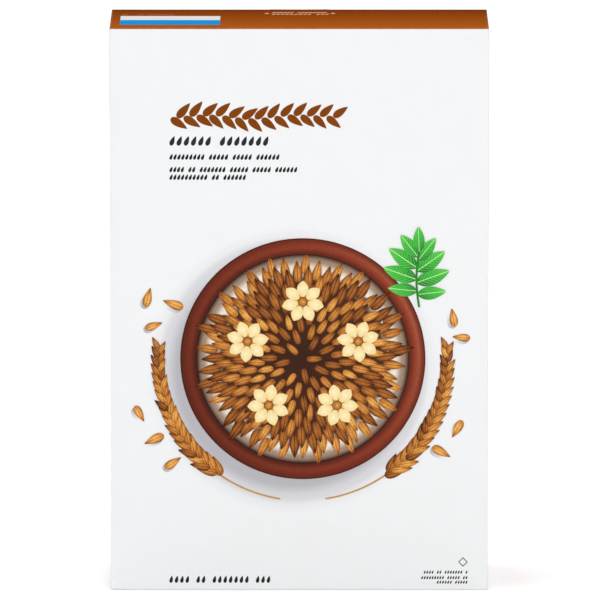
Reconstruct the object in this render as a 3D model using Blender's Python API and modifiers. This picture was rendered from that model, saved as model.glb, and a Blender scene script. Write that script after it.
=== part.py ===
"""A shut cereal box: a tall paperboard carton that stands upright, with its front towards -Y.

The real carton is one printed blank, folded round, glued down one corner and shut with flaps,
and nothing shows of what it holds. So it is one solid. Its wide panels swell a little over the
filled bag, its folds are rounded, and each end is closed by an outer flap, hinged on the front,
that laps over an inner flap and stops short of the back. The flaps are cut a little narrower
than the box, and the top one ends in a locking tab.

Lengths are in metres. The origin is the middle of the underside, and +Z is up.
"""

import math

import bmesh
import bpy

# Outside size of the carton
WIDTH = 0.195
DEPTH = 0.070
HEIGHT = 0.294

# Board and folds
BOARD = 0.00055
FOLD_RADIUS = 0.0006
FOLD_STEPS = 3
SWELL = 0.0012

# Cells that the swollen panels are divided into
CELLS_ACROSS = 12
CELLS_UP = 18

# Flaps: how far they stay in from the sides, and how far the outer one stops short of the back
FLAP_INSET = 0.0007
FLAP_GAP = 0.0065

# Locking tab in the middle of the top flap's free edge
TAB_WIDTH = 0.036
TAB_REACH = 0.0042
TAB_SLANT = 0.003
TAB_CORNER = 0.0018
TAB_CORNER_STEPS = 4

# Glued corner: the back panel's cut edge stands this far in from the left side
SEAM_STEP = 0.0004

# How far a cutter passes the surface that it cuts
OVERCUT = 0.004

BOARD_COLOUR = (0.90, 0.90, 0.91, 1.0)
BOARD_ROUGHNESS = 0.45


def clear_scene():
    for obj in list(bpy.data.objects):
        bpy.data.objects.remove(obj, do_unlink=True)


def new_collection(name):
    collection = bpy.data.collections.new(name)
    bpy.context.scene.collection.children.link(collection)
    return collection


def coated_board():
    material = bpy.data.materials.new("coated_board")
    material.use_nodes = True
    shader = material.node_tree.nodes["Principled BSDF"]
    shader.inputs["Base Color"].default_value = BOARD_COLOUR
    shader.inputs["Roughness"].default_value = BOARD_ROUGHNESS
    shader.inputs["Metallic"].default_value = 0.0
    return material


def block(name, low, high, collection):
    """A plain box between two opposite corners."""
    mesh = bpy.data.meshes.new(name)
    shape = bmesh.new()
    bmesh.ops.create_cube(shape, size=1.0)
    for vert in shape.verts:
        for axis in range(3):
            vert.co[axis] = low[axis] + (vert.co[axis] + 0.5) * (high[axis] - low[axis])
    shape.to_mesh(mesh)
    shape.free()
    obj = bpy.data.objects.new(name, mesh)
    collection.objects.link(obj)
    return obj


def plate(name, outline, bottom, top, collection):
    """A flat outline in the XY plane, given a thickness from bottom to top."""
    curve = bpy.data.curves.new(name, "CURVE")
    curve.dimensions = "2D"
    curve.fill_mode = "BOTH"
    curve.extrude = (top - bottom) / 2
    spline = curve.splines.new("POLY")
    spline.points.add(len(outline) - 1)
    spline.use_cyclic_u = True
    for point, (x, y) in zip(spline.points, outline):
        point.co = (x, y, 0.0, 1.0)
    drawn = bpy.data.objects.new(name + "_outline", curve)
    drawn.location.z = (bottom + top) / 2
    collection.objects.link(drawn)
    bpy.context.view_layer.update()

    graph = bpy.context.evaluated_depsgraph_get()
    mesh = bpy.data.meshes.new_from_object(drawn.evaluated_get(graph))
    shape = bmesh.new()
    shape.from_mesh(mesh)
    bmesh.ops.remove_doubles(shape, verts=shape.verts, dist=1e-6)
    bmesh.ops.recalc_face_normals(shape, faces=shape.faces)
    shape.to_mesh(mesh)
    shape.free()
    obj = bpy.data.objects.new(name, mesh)
    obj.matrix_world = drawn.matrix_world
    collection.objects.link(obj)
    bpy.data.objects.remove(drawn, do_unlink=True)
    return obj


def cut(target, cutter):
    cutter.hide_render = True
    cutter.display_type = "WIRE"
    boolean = target.modifiers.new(cutter.name, "BOOLEAN")
    boolean.operation = "DIFFERENCE"
    boolean.object = cutter
    boolean.solver = "EXACT"


def divide_panels(shape):
    """Cuts the box into cells, so that its wide panels can curve."""
    cuts = [((WIDTH * (i / CELLS_ACROSS - 0.5), 0, 0), (1, 0, 0)) for i in range(1, CELLS_ACROSS)]
    cuts += [((0, 0, HEIGHT * i / CELLS_UP), (0, 0, 1)) for i in range(1, CELLS_UP)]
    for point, normal in cuts:
        everything = shape.verts[:] + shape.edges[:] + shape.faces[:]
        bmesh.ops.bisect_plane(shape, geom=everything, plane_co=point, plane_no=normal)


def swell_at(x, z):
    """How far the front and the back stand out at a point: most in the middle, none at the folds."""
    across = 1 - (2 * x / WIDTH) ** 2
    up = 1 - (2 * z / HEIGHT - 1) ** 4
    return SWELL * across * up


def carton_body(collection):
    """The filled carton before its flaps are cut free, with every fold rounded."""
    obj = block("carton", (-WIDTH / 2, -DEPTH / 2, 0), (WIDTH / 2, DEPTH / 2, HEIGHT), collection)
    shape = bmesh.new()
    shape.from_mesh(obj.data)
    divide_panels(shape)
    for vert in shape.verts:
        vert.co.y += math.copysign(swell_at(vert.co.x, vert.co.z), vert.co.y)
    shape.to_mesh(obj.data)
    shape.free()

    folds = obj.modifiers.new("folds", "BEVEL")
    folds.width = FOLD_RADIUS
    folds.segments = FOLD_STEPS
    folds.limit_method = "ANGLE"
    folds.angle_limit = math.radians(60)
    obj.data.materials.append(coated_board())
    return obj


def free_flap_ends(carton, collection):
    """Trims the flaps at both ends of the carton, down to the side panels' own folds."""
    flaps_deep = 2 * BOARD
    ends = {"bottom": (-OVERCUT, flaps_deep), "top": (HEIGHT - flaps_deep, HEIGHT + OVERCUT)}
    sides = {
        "left": (-WIDTH / 2 - OVERCUT, -WIDTH / 2 + FLAP_INSET),
        "right": (WIDTH / 2 - FLAP_INSET, WIDTH / 2 + OVERCUT),
    }
    reach = DEPTH / 2 + OVERCUT
    for end, (z_low, z_high) in ends.items():
        for side, (x_low, x_high) in sides.items():
            name = f"cut_{end}_{side}"
            cut(carton, block(name, (x_low, -reach, z_low), (x_high, reach, z_high), collection))


def tab_outline(edge):
    """The tab's corners from left to right, standing out from the flap's free edge at y = edge."""
    half, tip = TAB_WIDTH / 2, edge + TAB_REACH
    lean = math.atan2(TAB_SLANT, TAB_REACH)
    turn = math.pi / 2 - lean
    centre_x = half - TAB_SLANT - TAB_CORNER * math.tan(turn / 2)
    right = []
    for step in range(TAB_CORNER_STEPS + 1):
        angle = math.pi / 2 - turn * step / TAB_CORNER_STEPS
        x = centre_x + TAB_CORNER * math.cos(angle)
        y = tip - TAB_CORNER + TAB_CORNER * math.sin(angle)
        right.append((x, y))
    right.append((half, edge))
    left = [(-x, y) for x, y in reversed(right)]
    return left + right


def free_flap_edges(carton, collection):
    """Shows the inner flap along the back: the outer flap stops short there, round its tab."""
    edge, back, side = DEPTH / 2 - FLAP_GAP, DEPTH / 2 + OVERCUT, WIDTH / 2 + OVERCUT
    around_tab = [(-side, back), (-side, edge), *tab_outline(edge), (side, edge), (side, back)]
    cut(carton, plate("cut_top_edge", around_tab, HEIGHT - BOARD, HEIGHT + OVERCUT, collection))
    cut(carton, block("cut_bottom_edge", (-side, edge, -OVERCUT), (side, back, BOARD), collection))


def open_seam(carton, collection):
    """The step at the left back corner, where the back panel is glued over its flap."""
    low = (-WIDTH / 2 - OVERCUT, DEPTH / 2 - BOARD, -OVERCUT)
    high = (-WIDTH / 2 + SEAM_STEP, DEPTH / 2 + OVERCUT, HEIGHT + OVERCUT)
    cut(carton, block("cut_seam", low, high, collection))


def main():
    clear_scene()
    box = new_collection("cereal_box")
    cutters = new_collection("cutters")
    carton = carton_body(box)
    free_flap_ends(carton, cutters)
    free_flap_edges(carton, cutters)
    open_seam(carton, cutters)


main()
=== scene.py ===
"""A shut cereal box, dressed for its portrait.

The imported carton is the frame. The script follows the way a carton is made: the blank is folded from
real board, its cover and its panels are printed, and it stands on a pale studio floor. All print is
drawn flat, as on the blank, and then laid on the panel that it belongs to. Lengths are in metres.
"""

import math
import random

import bmesh
import bpy
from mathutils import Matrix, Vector


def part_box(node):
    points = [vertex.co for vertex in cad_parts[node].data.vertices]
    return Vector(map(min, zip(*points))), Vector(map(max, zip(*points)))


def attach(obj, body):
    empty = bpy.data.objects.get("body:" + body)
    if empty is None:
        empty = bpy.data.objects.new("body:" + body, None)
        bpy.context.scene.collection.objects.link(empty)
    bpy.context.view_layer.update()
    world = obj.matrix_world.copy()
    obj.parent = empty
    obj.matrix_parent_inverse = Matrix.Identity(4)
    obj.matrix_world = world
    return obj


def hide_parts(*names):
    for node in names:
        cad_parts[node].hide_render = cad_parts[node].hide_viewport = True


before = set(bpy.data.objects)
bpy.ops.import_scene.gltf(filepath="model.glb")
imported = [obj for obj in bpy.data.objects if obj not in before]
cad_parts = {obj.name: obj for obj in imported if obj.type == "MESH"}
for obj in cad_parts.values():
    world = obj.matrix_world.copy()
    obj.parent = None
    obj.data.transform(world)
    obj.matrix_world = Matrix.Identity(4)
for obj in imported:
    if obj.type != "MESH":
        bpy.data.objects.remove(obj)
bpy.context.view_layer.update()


# The camera
# A long lens looks slightly down on the front from 5 m away, so that the upright edges stay
# parallel and the top shows as a narrow band. It is a catalogue view, square to the front.
CAMERA_DISTANCE = 5.0
CAMERA_PITCH = math.radians(10.23)
CAMERA_LENS = 578.25
CAMERA_SIGHT = 30
AIM = Vector((0.00034, 0, 0.14626))


def placed(name, data):
    """A new object in the scene that shows this data."""
    made = bpy.data.objects.new(name, data)
    bpy.context.collection.objects.link(made)
    return made


view_direction = Vector((0, math.cos(CAMERA_PITCH), -math.sin(CAMERA_PITCH)))
camera = placed("camera", bpy.data.cameras.new("camera"))
camera.data.lens = CAMERA_LENS
camera.data.clip_end = CAMERA_SIGHT
camera.location = AIM - CAMERA_DISTANCE * view_direction
camera.rotation_euler = view_direction.to_track_quat("-Z", "Y").to_euler()
bpy.context.scene.camera = camera
bpy.context.scene.view_settings.view_transform = "Standard"


# The studio
# A pale floor runs far back under an open room that is bright overhead and dim near the horizon, so
# that the top isn't washed out by glare. A large soft box stands in front, a little to the right, and
# a cooler one on the left, so that the left edge of the front is a shade bluer.
FLOOR_REACH = 9.0
FLOOR_DROP = 0.0001
FLOOR_TONES = (0.93, 0.95)
FLOOR_GLOW = 0.11
ROOM_HORIZON, ROOM_OVERHEAD, ROOM_SEEN = 0.06, 0.88, 1.0
ROOM_RISE = (0.05, 0.75)
PURE_WHITE = (1.0, 1.0, 1.0, 1.0)
# Each soft box has its place, size, power and colour.
SOFT_BOXES = {
    "key": ((0.50, -2.5, 0.75), 1.4, 16.2, (1.0, 0.988, 0.968)),
    "cool_fill": ((-1.9, -1.7, 0.9), 1.2, 5, (0.86, 0.94, 1.0)),
    "overhead": ((0.0, 0.4, 3.0), 4.0, 55, (1.0, 1.0, 1.0)),
}
CRISP_ANGLE = math.radians(40)


class Wiring:
    """A node tree with short ways to add to it. An input is a value, or a socket that feeds it."""

    def __init__(self, tree):
        self.tree = tree

    def feed(self, node, inputs):
        """Sets or links a node's inputs."""
        for name, value in inputs.items():
            if isinstance(value, bpy.types.NodeSocket):
                self.tree.links.new(value, node.inputs[name])
            else:
                node.inputs[name].default_value = value

    def node(self, kind, inputs=None, **settings):
        """A new node with its settings and inputs."""
        made = self.tree.nodes.new(kind)
        for name, value in settings.items():
            setattr(made, name, value)
        self.feed(made, inputs or {})
        return made

    def maths(self, operation, *values, clamp=False):
        """The output of one Math node."""
        inputs = dict(enumerate(values))
        return self.node("ShaderNodeMath", inputs, operation=operation, use_clamp=clamp).outputs[0]

    def plus(self, first, second):
        return self.maths("ADD", first, second)

    def minus(self, first, second):
        return self.maths("SUBTRACT", first, second)

    def times(self, first, second):
        return self.maths("MULTIPLY", first, second)

    def mapped(self, value, source, target, smooth=False):
        """A value taken from the range source to the range target, and held at its ends."""
        return self.node("ShaderNodeMapRange", {
            "Value": value, "From Min": source[0], "From Max": source[1],
            "To Min": target[0], "To Max": target[1],
        }, interpolation_type="SMOOTHSTEP" if smooth else "LINEAR").outputs["Result"]

    def axes(self, vector):
        """The outputs X, Y and Z, which take a vector apart."""
        return self.node("ShaderNodeSeparateXYZ", {"Vector": vector}).outputs


def empty_material(name):
    """A new material, its tree's wiring and its Principled BSDF."""
    material = bpy.data.materials.new(name)
    material.use_nodes = True
    return material, Wiring(material.node_tree), material.node_tree.nodes["Principled BSDF"]


def finish_mesh(name, shape, material=None):
    """A new object from a bmesh, which it frees, with crisp edges where faces meet sharply."""
    mesh = bpy.data.meshes.new(name)
    shape.to_mesh(mesh)
    shape.free()
    mesh.shade_smooth()
    mesh.set_sharp_from_angle(angle=CRISP_ANGLE)
    if material:
        mesh.materials.append(material)
    return placed(name, mesh)


world = bpy.data.worlds.new("room")
world.use_nodes = True
bpy.context.scene.world = world
room = Wiring(world.node_tree)
rise = room.axes(room.node("ShaderNodeTexCoord").outputs["Generated"])["Z"]
room_light = room.mapped(rise, ROOM_RISE, (ROOM_HORIZON, ROOM_OVERHEAD), smooth=True)
seen = room.node("ShaderNodeLightPath").outputs["Is Camera Ray"]
room.feed(world.node_tree.nodes["Background"], {
    "Color": PURE_WHITE,
    "Strength": room.plus(room.times(seen, ROOM_SEEN), room.times(room.minus(1.0, seen), room_light)),
})

for name, (place, size, power, colour) in SOFT_BOXES.items():
    light = bpy.data.lights.new(name, "AREA")
    light.size = size
    light.energy = power
    light.color = colour
    lamp = placed(name, light)
    lamp.location = place
    lamp.rotation_euler = (AIM - lamp.location).to_track_quat("-Z", "Y").to_euler()

floor_paint, floor_tree, floor_shader = empty_material("floor_paint")
floor_haze = floor_tree.node("ShaderNodeTexNoise", {"Scale": 3.0, "Detail": 3.0}).outputs["Fac"]
floor_tree.feed(floor_shader, {
    "Base Color": floor_tree.mapped(floor_haze, (0.0, 1.0), FLOOR_TONES), "Roughness": 0.8,
    "Specular IOR Level": 0.1, "Emission Color": PURE_WHITE, "Emission Strength": FLOOR_GLOW,
})
floor_shape = bmesh.new()
bmesh.ops.create_grid(floor_shape, x_segments=8, y_segments=8, size=FLOOR_REACH)
floor = finish_mesh("floor", floor_shape, floor_paint)
floor.location.z = -FLOOR_DROP


# The folded board
# One blank of clay-coated board, 0.55 mm thick, is folded round into a sleeve, glued down its left
# back corner and shut with three layers of flaps at each end. Only its cut edges show the grey core.
# The filled bag makes the wide panels swell, and draws the narrow ones in.
LOW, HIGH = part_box("carton")
SWELL = 0.0012
SWELL_RIPPLE = 0.05
BOW = 0.0004
WIDTH = HIGH.x - LOW.x
DEPTH = HIGH.y - LOW.y - 2 * SWELL
HEIGHT = HIGH.z - LOW.z

BOARD = 0.00055
FOLD_RADIUS = 0.0006
FOLD_STEPS = 4
LAYER_GAP = 0.00004
PANEL_CELL = 0.0075
FLAP_ROWS = 9

FLAP_INSET = 0.0003
FLAP_GAP = 0.0065
FLAP_LIFT = 0.0003
INNER_FLAP_REACH = 0.060
DUST_FLAP_REACH = 0.048
DUST_FLAP_INSET = 0.0016
GLUE_FLAP = 0.014
SEAM_STEP = 0.0004

TAB_WIDTH = 0.036
TAB_REACH = 0.0042
TAB_SLANT = 0.003
TAB_CORNER = 0.0018
TAB_DIP = 0.0003

HEADER_LOW = 0.2500
# Lines across a panel that are nearer than this count as one, and so do points when all is welded.
SAME_LINE, SAME_LEVEL, WELD = 2e-5, 1e-7, 2e-6


def swell_at(x, z):
    """How far the front and the back stand out: most in the middle, none at the folds."""
    across = 1 - (2 * x / WIDTH) ** 2
    up = 1 - (2 * z / HEIGHT - 1) ** 4
    ripple = 1 + SWELL_RIPPLE * math.sin(61 * x + 1.1) * math.cos(43 * z)
    return SWELL * across * up * ripple


def bow_at(y, z):
    """How far the narrow panels are drawn in between their folds."""
    return BOW * (1 - (2 * y / DEPTH) ** 2) * (1 - (2 * z / HEIGHT - 1) ** 4)


def lift_at(x, y):
    """How far the top flap springs up towards its free edge. Its tab holds it, and dips at the tip."""
    held = math.exp(-((x / (0.8 * TAB_WIDTH)) ** 2))
    along = (y + DEPTH / 2) / DEPTH
    past_edge = max(0.0, y - (DEPTH / 2 - FLAP_GAP)) / TAB_REACH
    return FLAP_LIFT * along**2 * (1 - held) * (1 + 0.25 * math.sin(50 * x)) - TAB_DIP * past_edge


def on_front(u, v, out):
    """A point of the front: u from its left fold, v from the floor, and out of the board."""
    x = u - WIDTH / 2
    return (x, -DEPTH / 2 - swell_at(x, v) - out, v)


def on_back(u, v, out):
    x = WIDTH / 2 - u
    return (x, DEPTH / 2 + swell_at(x, v) + out, v)


def on_left(u, v, out):
    y = DEPTH / 2 - u
    return (-WIDTH / 2 + bow_at(y, v) - out, y, v)


def on_right(u, v, out):
    y = u - DEPTH / 2
    return (WIDTH / 2 - bow_at(y, v) + out, y, v)


def on_top(u, v, out):
    """A point of the outer top flap: u from its left side, v from the front fold."""
    x, y = u - WIDTH / 2, v - DEPTH / 2
    return (x, y, HEIGHT + lift_at(x, y) + out)


def on_bottom(u, v, out):
    """A point of the outer bottom flap, seen from below."""
    return (WIDTH / 2 - u, v - DEPTH / 2, -out)


def tab_corners():
    """The tab's outline from the middle to the right, as (x, how far it stands out)."""
    lean = math.atan2(TAB_SLANT, TAB_REACH)
    turn = math.pi / 2 - lean
    centre = TAB_WIDTH / 2 - TAB_SLANT - TAB_CORNER * math.tan(turn / 2)
    corners = [(0.0, TAB_REACH)]
    for step in range(FOLD_STEPS + 1):
        angle = math.pi / 2 - turn * step / FOLD_STEPS
        out = TAB_REACH - TAB_CORNER + TAB_CORNER * math.sin(angle)
        corners.append((centre + TAB_CORNER * math.cos(angle), out))
    return corners + [(TAB_WIDTH / 2, 0.0)]


def tab_reach_at(u):
    """How far the tab stands out from the top flap's free edge."""
    x = u - WIDTH / 2
    corners = tab_corners()
    for (x_in, out_in), (x_out, out_out) in zip(corners, corners[1:]):
        if x_in <= abs(x) <= x_out:
            return out_in + (abs(x) - x_in) / (x_out - x_in) * (out_out - out_in)
    return 0.0


def steps_between(start, end, most):
    """Even steps from start to end, none longer than most."""
    count = max(1, math.ceil(abs(end - start) / most))
    return [start + (end - start) * i / count for i in range(count + 1)]


FOLD_TURNS = [math.pi / 2 * step / FOLD_STEPS for step in range(FOLD_STEPS + 1)]
SLEEVE_LOW = 2 * (BOARD + LAYER_GAP) + FOLD_RADIUS
SLEEVE_HIGH = HEIGHT - SLEEVE_LOW
SLEEVE_LEVELS = steps_between(SLEEVE_LOW, HEADER_LOW, PANEL_CELL)
SLEEVE_LEVELS += steps_between(HEADER_LOW, SLEEVE_HIGH, PANEL_CELL)[1:]
WHITE, BROWN, CORE = 0, 1, 2


def strip_line(layer, bottom_reach, top_reach):
    """(depth, height) along the board from one end flap's free edge, up the panel, to the other's.

    layer is how many thicknesses of board lie over this panel's flaps.
    """
    low = layer * (BOARD + LAYER_GAP)
    high = HEIGHT - low
    flap_steps = [step / FLAP_ROWS for step in range(FLAP_ROWS + 1)]
    arc = [(FOLD_RADIUS * (1 - math.cos(turn)), FOLD_RADIUS * math.sin(turn)) for turn in FOLD_TURNS]
    bottom = [(FOLD_RADIUS + (bottom_reach - FOLD_RADIUS) * s, low) for s in flap_steps[:0:-1]]
    bottom += [(depth, low + FOLD_RADIUS - rise) for depth, rise in reversed(arc)]
    top = [(depth, high - FOLD_RADIUS + rise) for depth, rise in arc]
    top += [(FOLD_RADIUS + (top_reach - FOLD_RADIUS) * s, high) for s in flap_steps[1:]]
    return bottom, [(0.0, level) for level in SLEEVE_LEVELS], top


def none_at(*place):
    return 0.0


def add_strip(shape, panel, sleeve_ends, flap_ends, layer, reach, white_rows,
              tab_lines=(), tab=none_at, lift=none_at):
    """One panel of the blank with its two end flaps, as one connected strip.

    The panel runs between sleeve_ends, and its flaps run between flap_ends. The cover's brown starts
    white_rows above the panel. Only the front's top flap has a tab and springs up.
    """
    found = sorted({*steps_between(*sleeve_ends, PANEL_CELL), *flap_ends, *tab_lines})
    columns = [u for i, u in enumerate(found) if i == 0 or u - found[i - 1] > SAME_LINE]
    grid = []
    for u in columns:
        bottom, sleeve, top = strip_line(layer, reach, reach + tab(u))
        line = []
        for number, (depth, level) in enumerate(bottom + sleeve + top):
            x, y, z = panel(u, level, -depth)
            if number >= len(bottom) + len(sleeve) + FOLD_STEPS:
                z += lift(x, y)
            line.append(shape.verts.new((x, y, z)))
        grid.append(line)
    first, last = len(bottom), len(bottom) + len(sleeve) - 1
    for (u, left), (next_u, right) in zip(zip(columns, grid), zip(columns[1:], grid[1:])):
        in_flap = flap_ends[0] - SAME_LEVEL <= u and next_u <= flap_ends[1] + SAME_LEVEL
        in_sleeve = sleeve_ends[0] - SAME_LEVEL <= u and next_u <= sleeve_ends[1] + SAME_LEVEL
        for row in range(len(left) - 1):
            if in_sleeve if first <= row < last else in_flap:
                face = shape.faces.new((left[row], right[row], right[row + 1], left[row + 1]))
                face.material_index = BROWN if row >= last + white_rows else WHITE


def add_corner(shape, centre, start, brown_from=HEIGHT):
    """One upright fold of the sleeve, a quarter turn from the angle start, brown from a level up."""
    levels = [2 * BOARD] + SLEEVE_LEVELS + [HEIGHT - 2 * BOARD]
    grid = []
    for turn in FOLD_TURNS:
        x = centre[0] + FOLD_RADIUS * math.cos(start + turn)
        y = centre[1] + FOLD_RADIUS * math.sin(start + turn)
        line = []
        for z in levels:
            out = math.copysign(swell_at(x, z), y) if abs(abs(y) - DEPTH / 2) < FOLD_RADIUS else 0
            inward = -math.copysign(bow_at(y, z), x)
            line.append(shape.verts.new((x + inward, y + out, z)))
        grid.append(line)
    for left, right in zip(grid, grid[1:]):
        for row in range(len(left) - 1):
            face = shape.faces.new((left[row], right[row], right[row + 1], left[row + 1]))
            face.material_index = BROWN if levels[row] > brown_from - SAME_LEVEL else WHITE


def applied(piece):
    """The piece as a plain mesh, with its modifiers worked in and taken off."""
    bpy.context.view_layer.update()
    graph = bpy.context.evaluated_depsgraph_get()
    mesh = bpy.data.meshes.new_from_object(piece.evaluated_get(graph))
    mesh.name = piece.name
    piece.modifiers.clear()
    piece.data = mesh
    return piece


blank = bmesh.new()
tab_lines = [WIDTH / 2 + side * x for x, _ in tab_corners() for side in (-1, 1)]
seam_fold = BOARD + LAYER_GAP + FOLD_RADIUS
wide_flap = (FLAP_INSET, WIDTH - FLAP_INSET)
narrow_flap = (DUST_FLAP_INSET, DEPTH - DUST_FLAP_INSET)
ALL_ROWS = FOLD_STEPS + FLAP_ROWS
add_strip(
    blank, on_front, (FOLD_RADIUS, WIDTH - FOLD_RADIUS), wide_flap, 0, DEPTH - FLAP_GAP,
    FOLD_STEPS // 2, tab_lines, tab_reach_at, lift_at,
)
add_strip(blank, on_back, (FOLD_RADIUS, WIDTH - SEAM_STEP), wide_flap, 1, INNER_FLAP_REACH, 0)
add_strip(blank, on_left, (seam_fold, DEPTH - FOLD_RADIUS), narrow_flap, 2, DUST_FLAP_REACH, 0)
add_strip(blank, on_right, (FOLD_RADIUS, DEPTH - FOLD_RADIUS), narrow_flap, 2, DUST_FLAP_REACH, ALL_ROWS)

corner_x, corner_y = WIDTH / 2 - FOLD_RADIUS, DEPTH / 2 - FOLD_RADIUS
seam_y = DEPTH / 2 - seam_fold
add_corner(blank, (-corner_x, seam_y), math.pi / 2, brown_from=HEADER_LOW)
add_corner(blank, (-corner_x, -corner_y), math.pi)
add_corner(blank, (corner_x, -corner_y), 1.5 * math.pi)
add_corner(blank, (corner_x, corner_y), 0.0)

# The glue flap lies inside, under the back's edge
outer, inner = (
    [blank.verts.new((x, seam_y + FOLD_RADIUS, z)) for z in SLEEVE_LEVELS]
    for x in (-WIDTH / 2 + GLUE_FLAP, -corner_x)
)
for row in range(len(SLEEVE_LEVELS) - 1):
    blank.faces.new((outer[row], inner[row], inner[row + 1], outer[row + 1]))
bmesh.ops.remove_doubles(blank, verts=blank.verts, dist=WELD)

carton_board = finish_mesh("carton_board", blank)
thickness = carton_board.modifiers.new("thickness", "SOLIDIFY")
thickness.thickness = BOARD
thickness.offset = -1
thickness.use_even_offset = True
thickness.use_rim = True
thickness.material_offset = CORE
thickness.material_offset_rim = CORE


def new_group(name, inputs, outputs):
    """An empty shader node group of plain values: its wiring, its inputs' sockets and its end."""
    group = bpy.data.node_groups.new(name, "ShaderNodeTree")
    for socket, value in inputs.items():
        made = group.interface.new_socket(socket, in_out="INPUT", socket_type="NodeSocketFloat")
        made.default_value = value
    for socket in outputs:
        group.interface.new_socket(socket, in_out="OUTPUT", socket_type="NodeSocketFloat")
    return Wiring(group), group.nodes.new("NodeGroupInput").outputs, group.nodes.new("NodeGroupOutput")


def object_place(tree):
    """The place in the carton's own coordinates."""
    return tree.node("ShaderNodeTexCoord").outputs["Object"]


def noise(tree, scale, detail, roughness=0.5):
    return tree.node("ShaderNodeTexNoise", {
        "Vector": object_place(tree), "Scale": scale, "Detail": detail, "Roughness": roughness,
    }).outputs["Fac"]


def mix_colours(tree, share, first, second):
    """The output of one colour Mix node. Its colour sockets are the ones numbered 6 and 7."""
    return tree.node("ShaderNodeMix", {0: share, 6: first, 7: second}, data_type="RGBA").outputs[2]


# The coated face of the board has a trace of its fibres under the varnish, at three scales
board_face, face_in, face_end = new_group(
    "board_face", {"Fine": 2400.0, "Broad": 90.0}, ("Height", "Mottle")
)
middle_fibres = noise(board_face, 420.0, 2.0)
board_face.feed(face_end, {
    "Height": board_face.plus(
        noise(board_face, face_in["Fine"], 3.0, 0.6), board_face.times(middle_fibres, 1.6)
    ),
    "Mottle": board_face.plus(
        board_face.times(noise(board_face, face_in["Broad"], 3.0), 0.7),
        board_face.times(middle_fibres, 0.3),
    ),
})

# Handling rubs the print along the folds. The rubbed strip is found from the carton's own size.
fold_wear, wear_in, wear_end = new_group("fold_wear", {"Reach": 0.0016, "Amount": 1.0}, ("Worn",))
wear_place = fold_wear.axes(object_place(fold_wear))
from_side = fold_wear.minus(WIDTH / 2, fold_wear.maths("ABSOLUTE", wear_place["X"]))
from_front = fold_wear.minus(DEPTH / 2, fold_wear.maths("ABSOLUTE", wear_place["Y"]))
from_end = fold_wear.maths("MINIMUM", wear_place["Z"], fold_wear.minus(HEIGHT, wear_place["Z"]))
nearer = fold_wear.maths("MINIMUM", from_side, from_front)
farther = fold_wear.maths("MAXIMUM", from_side, from_front)
from_fold = fold_wear.maths("MAXIMUM", nearer, fold_wear.maths("MINIMUM", farther, from_end))
patches = fold_wear.maths("POWER", fold_wear.times(noise(fold_wear, 260.0, 7.0, 0.7), 1.75), 3.0)
rub_reach = fold_wear.times(wear_in["Reach"], patches)
rubbed = fold_wear.mapped(from_fold, (0.0, rub_reach), (1.0, 0.0), smooth=True)
fold_wear.feed(wear_end, {"Worn": fold_wear.times(rubbed, wear_in["Amount"])})

WORN_COLOUR = (0.80, 0.78, 0.74, 1)
SHEEN_SPREAD, WORN_ROUGHNESS = 0.06, 0.3


def varnished(name, roughness, gloss, wear):
    """A material under satin varnish, without its colour, and the masks mottle and worn."""
    material, tree, shader = empty_material(name)
    face = tree.node("ShaderNodeGroup", node_tree=board_face.tree).outputs
    worn = tree.node("ShaderNodeGroup", {"Amount": wear}, node_tree=fold_wear.tree).outputs["Worn"]
    sheen = tree.mapped(face["Mottle"], (0.0, 1.0), (roughness - SHEEN_SPREAD, roughness + SHEEN_SPREAD))
    relief = tree.node("ShaderNodeBump", {"Height": face["Height"], "Strength": 0.05, "Distance": 0.0002})
    tree.feed(shader, {
        "Roughness": tree.plus(sheen, tree.times(worn, WORN_ROUGHNESS)),
        "Specular IOR Level": gloss, "Normal": relief.outputs["Normal"],
    })
    return material, tree, shader, face["Mottle"], worn


def printed(name, first, second, roughness=0.5, gloss=0.2, wear=0.2, share_of=None):
    """Ink or clay coating that goes from one tone to another, by its mottle if nothing else is given."""
    material, tree, shader, mottle, worn = varnished(name, roughness, gloss, wear)
    share = share_of(tree) if share_of else tree.mapped(mottle, (0.38, 0.62), (0.0, 1.0))
    inked = mix_colours(tree, share, first, second)
    tree.feed(shader, {"Base Color": mix_colours(tree, worn, inked, WORN_COLOUR)})
    return material


# Painted light on the cover: the share from the top flap's free edge at the back to its front fold, where the
# brown is painted lighter
def painted_light_to_front(tree):
    return tree.mapped(tree.axes(object_place(tree))["Y"], (DEPTH / 2 - FLAP_GAP, -DEPTH / 2), (0.0, 1.0))


COAT, COAT_SHADE = (0.806, 0.813, 0.824, 1), (0.800, 0.806, 0.815, 1)
white_coat = printed("white_coat", COAT, COAT_SHADE, roughness=0.42, gloss=0.4, wear=0.25)
# The cover's brown runs from a deep tone at the back to a lighter, more orange one at the front fold.
# That lightening is painted light, as if the front of the top caught more light than its back.
brown_ink = printed(
    "brown_ink", (0.168, 0.031, 0.0035, 1), (0.350, 0.086, 0.0090, 1),
    roughness=0.55, gloss=0.0, wear=0.12, share_of=painted_light_to_front,
)

# The core is recycled pulp: grey-brown, layered along the cut and quite matt
board_core, core_tree, core_shader = empty_material("board_core")
specks = noise(core_tree, 1800.0, 4.0, 0.7)
pulp = core_tree.node("ShaderNodeBump", {"Height": specks, "Strength": 0.3, "Distance": 0.0003})
core_tree.feed(core_shader, {
    "Base Color": mix_colours(core_tree, specks, (0.20, 0.165, 0.125, 1), (0.47, 0.42, 0.35, 1)),
    "Roughness": 0.9, "Normal": pulp.outputs["Normal"],
})

for material in (white_coat, brown_ink, board_core, board_core):
    carton_board.data.materials.append(material)
applied(carton_board)
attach(carton_board, "root")
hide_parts("carton")


# The front print: garland and rows of grains
# Ink lies on the board as a film of a few hundredths of a millimetre. Each motif is drawn flat, in
# the panel's own measures from its lower left corner, and is then laid on the swollen panel.
FILM = 0.00003
FILM_STEP = 0.00002
BEND_CELL = 0.009
EAR_STACK = 3e-6
GRAIN_TOSS = 0.09
GAP_ODDS = 0.17
GARLAND_SPREAD = 0.72
# The shapes and stems that Geometry Nodes read, which are removed at the end
pattern_shapes = []


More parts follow.
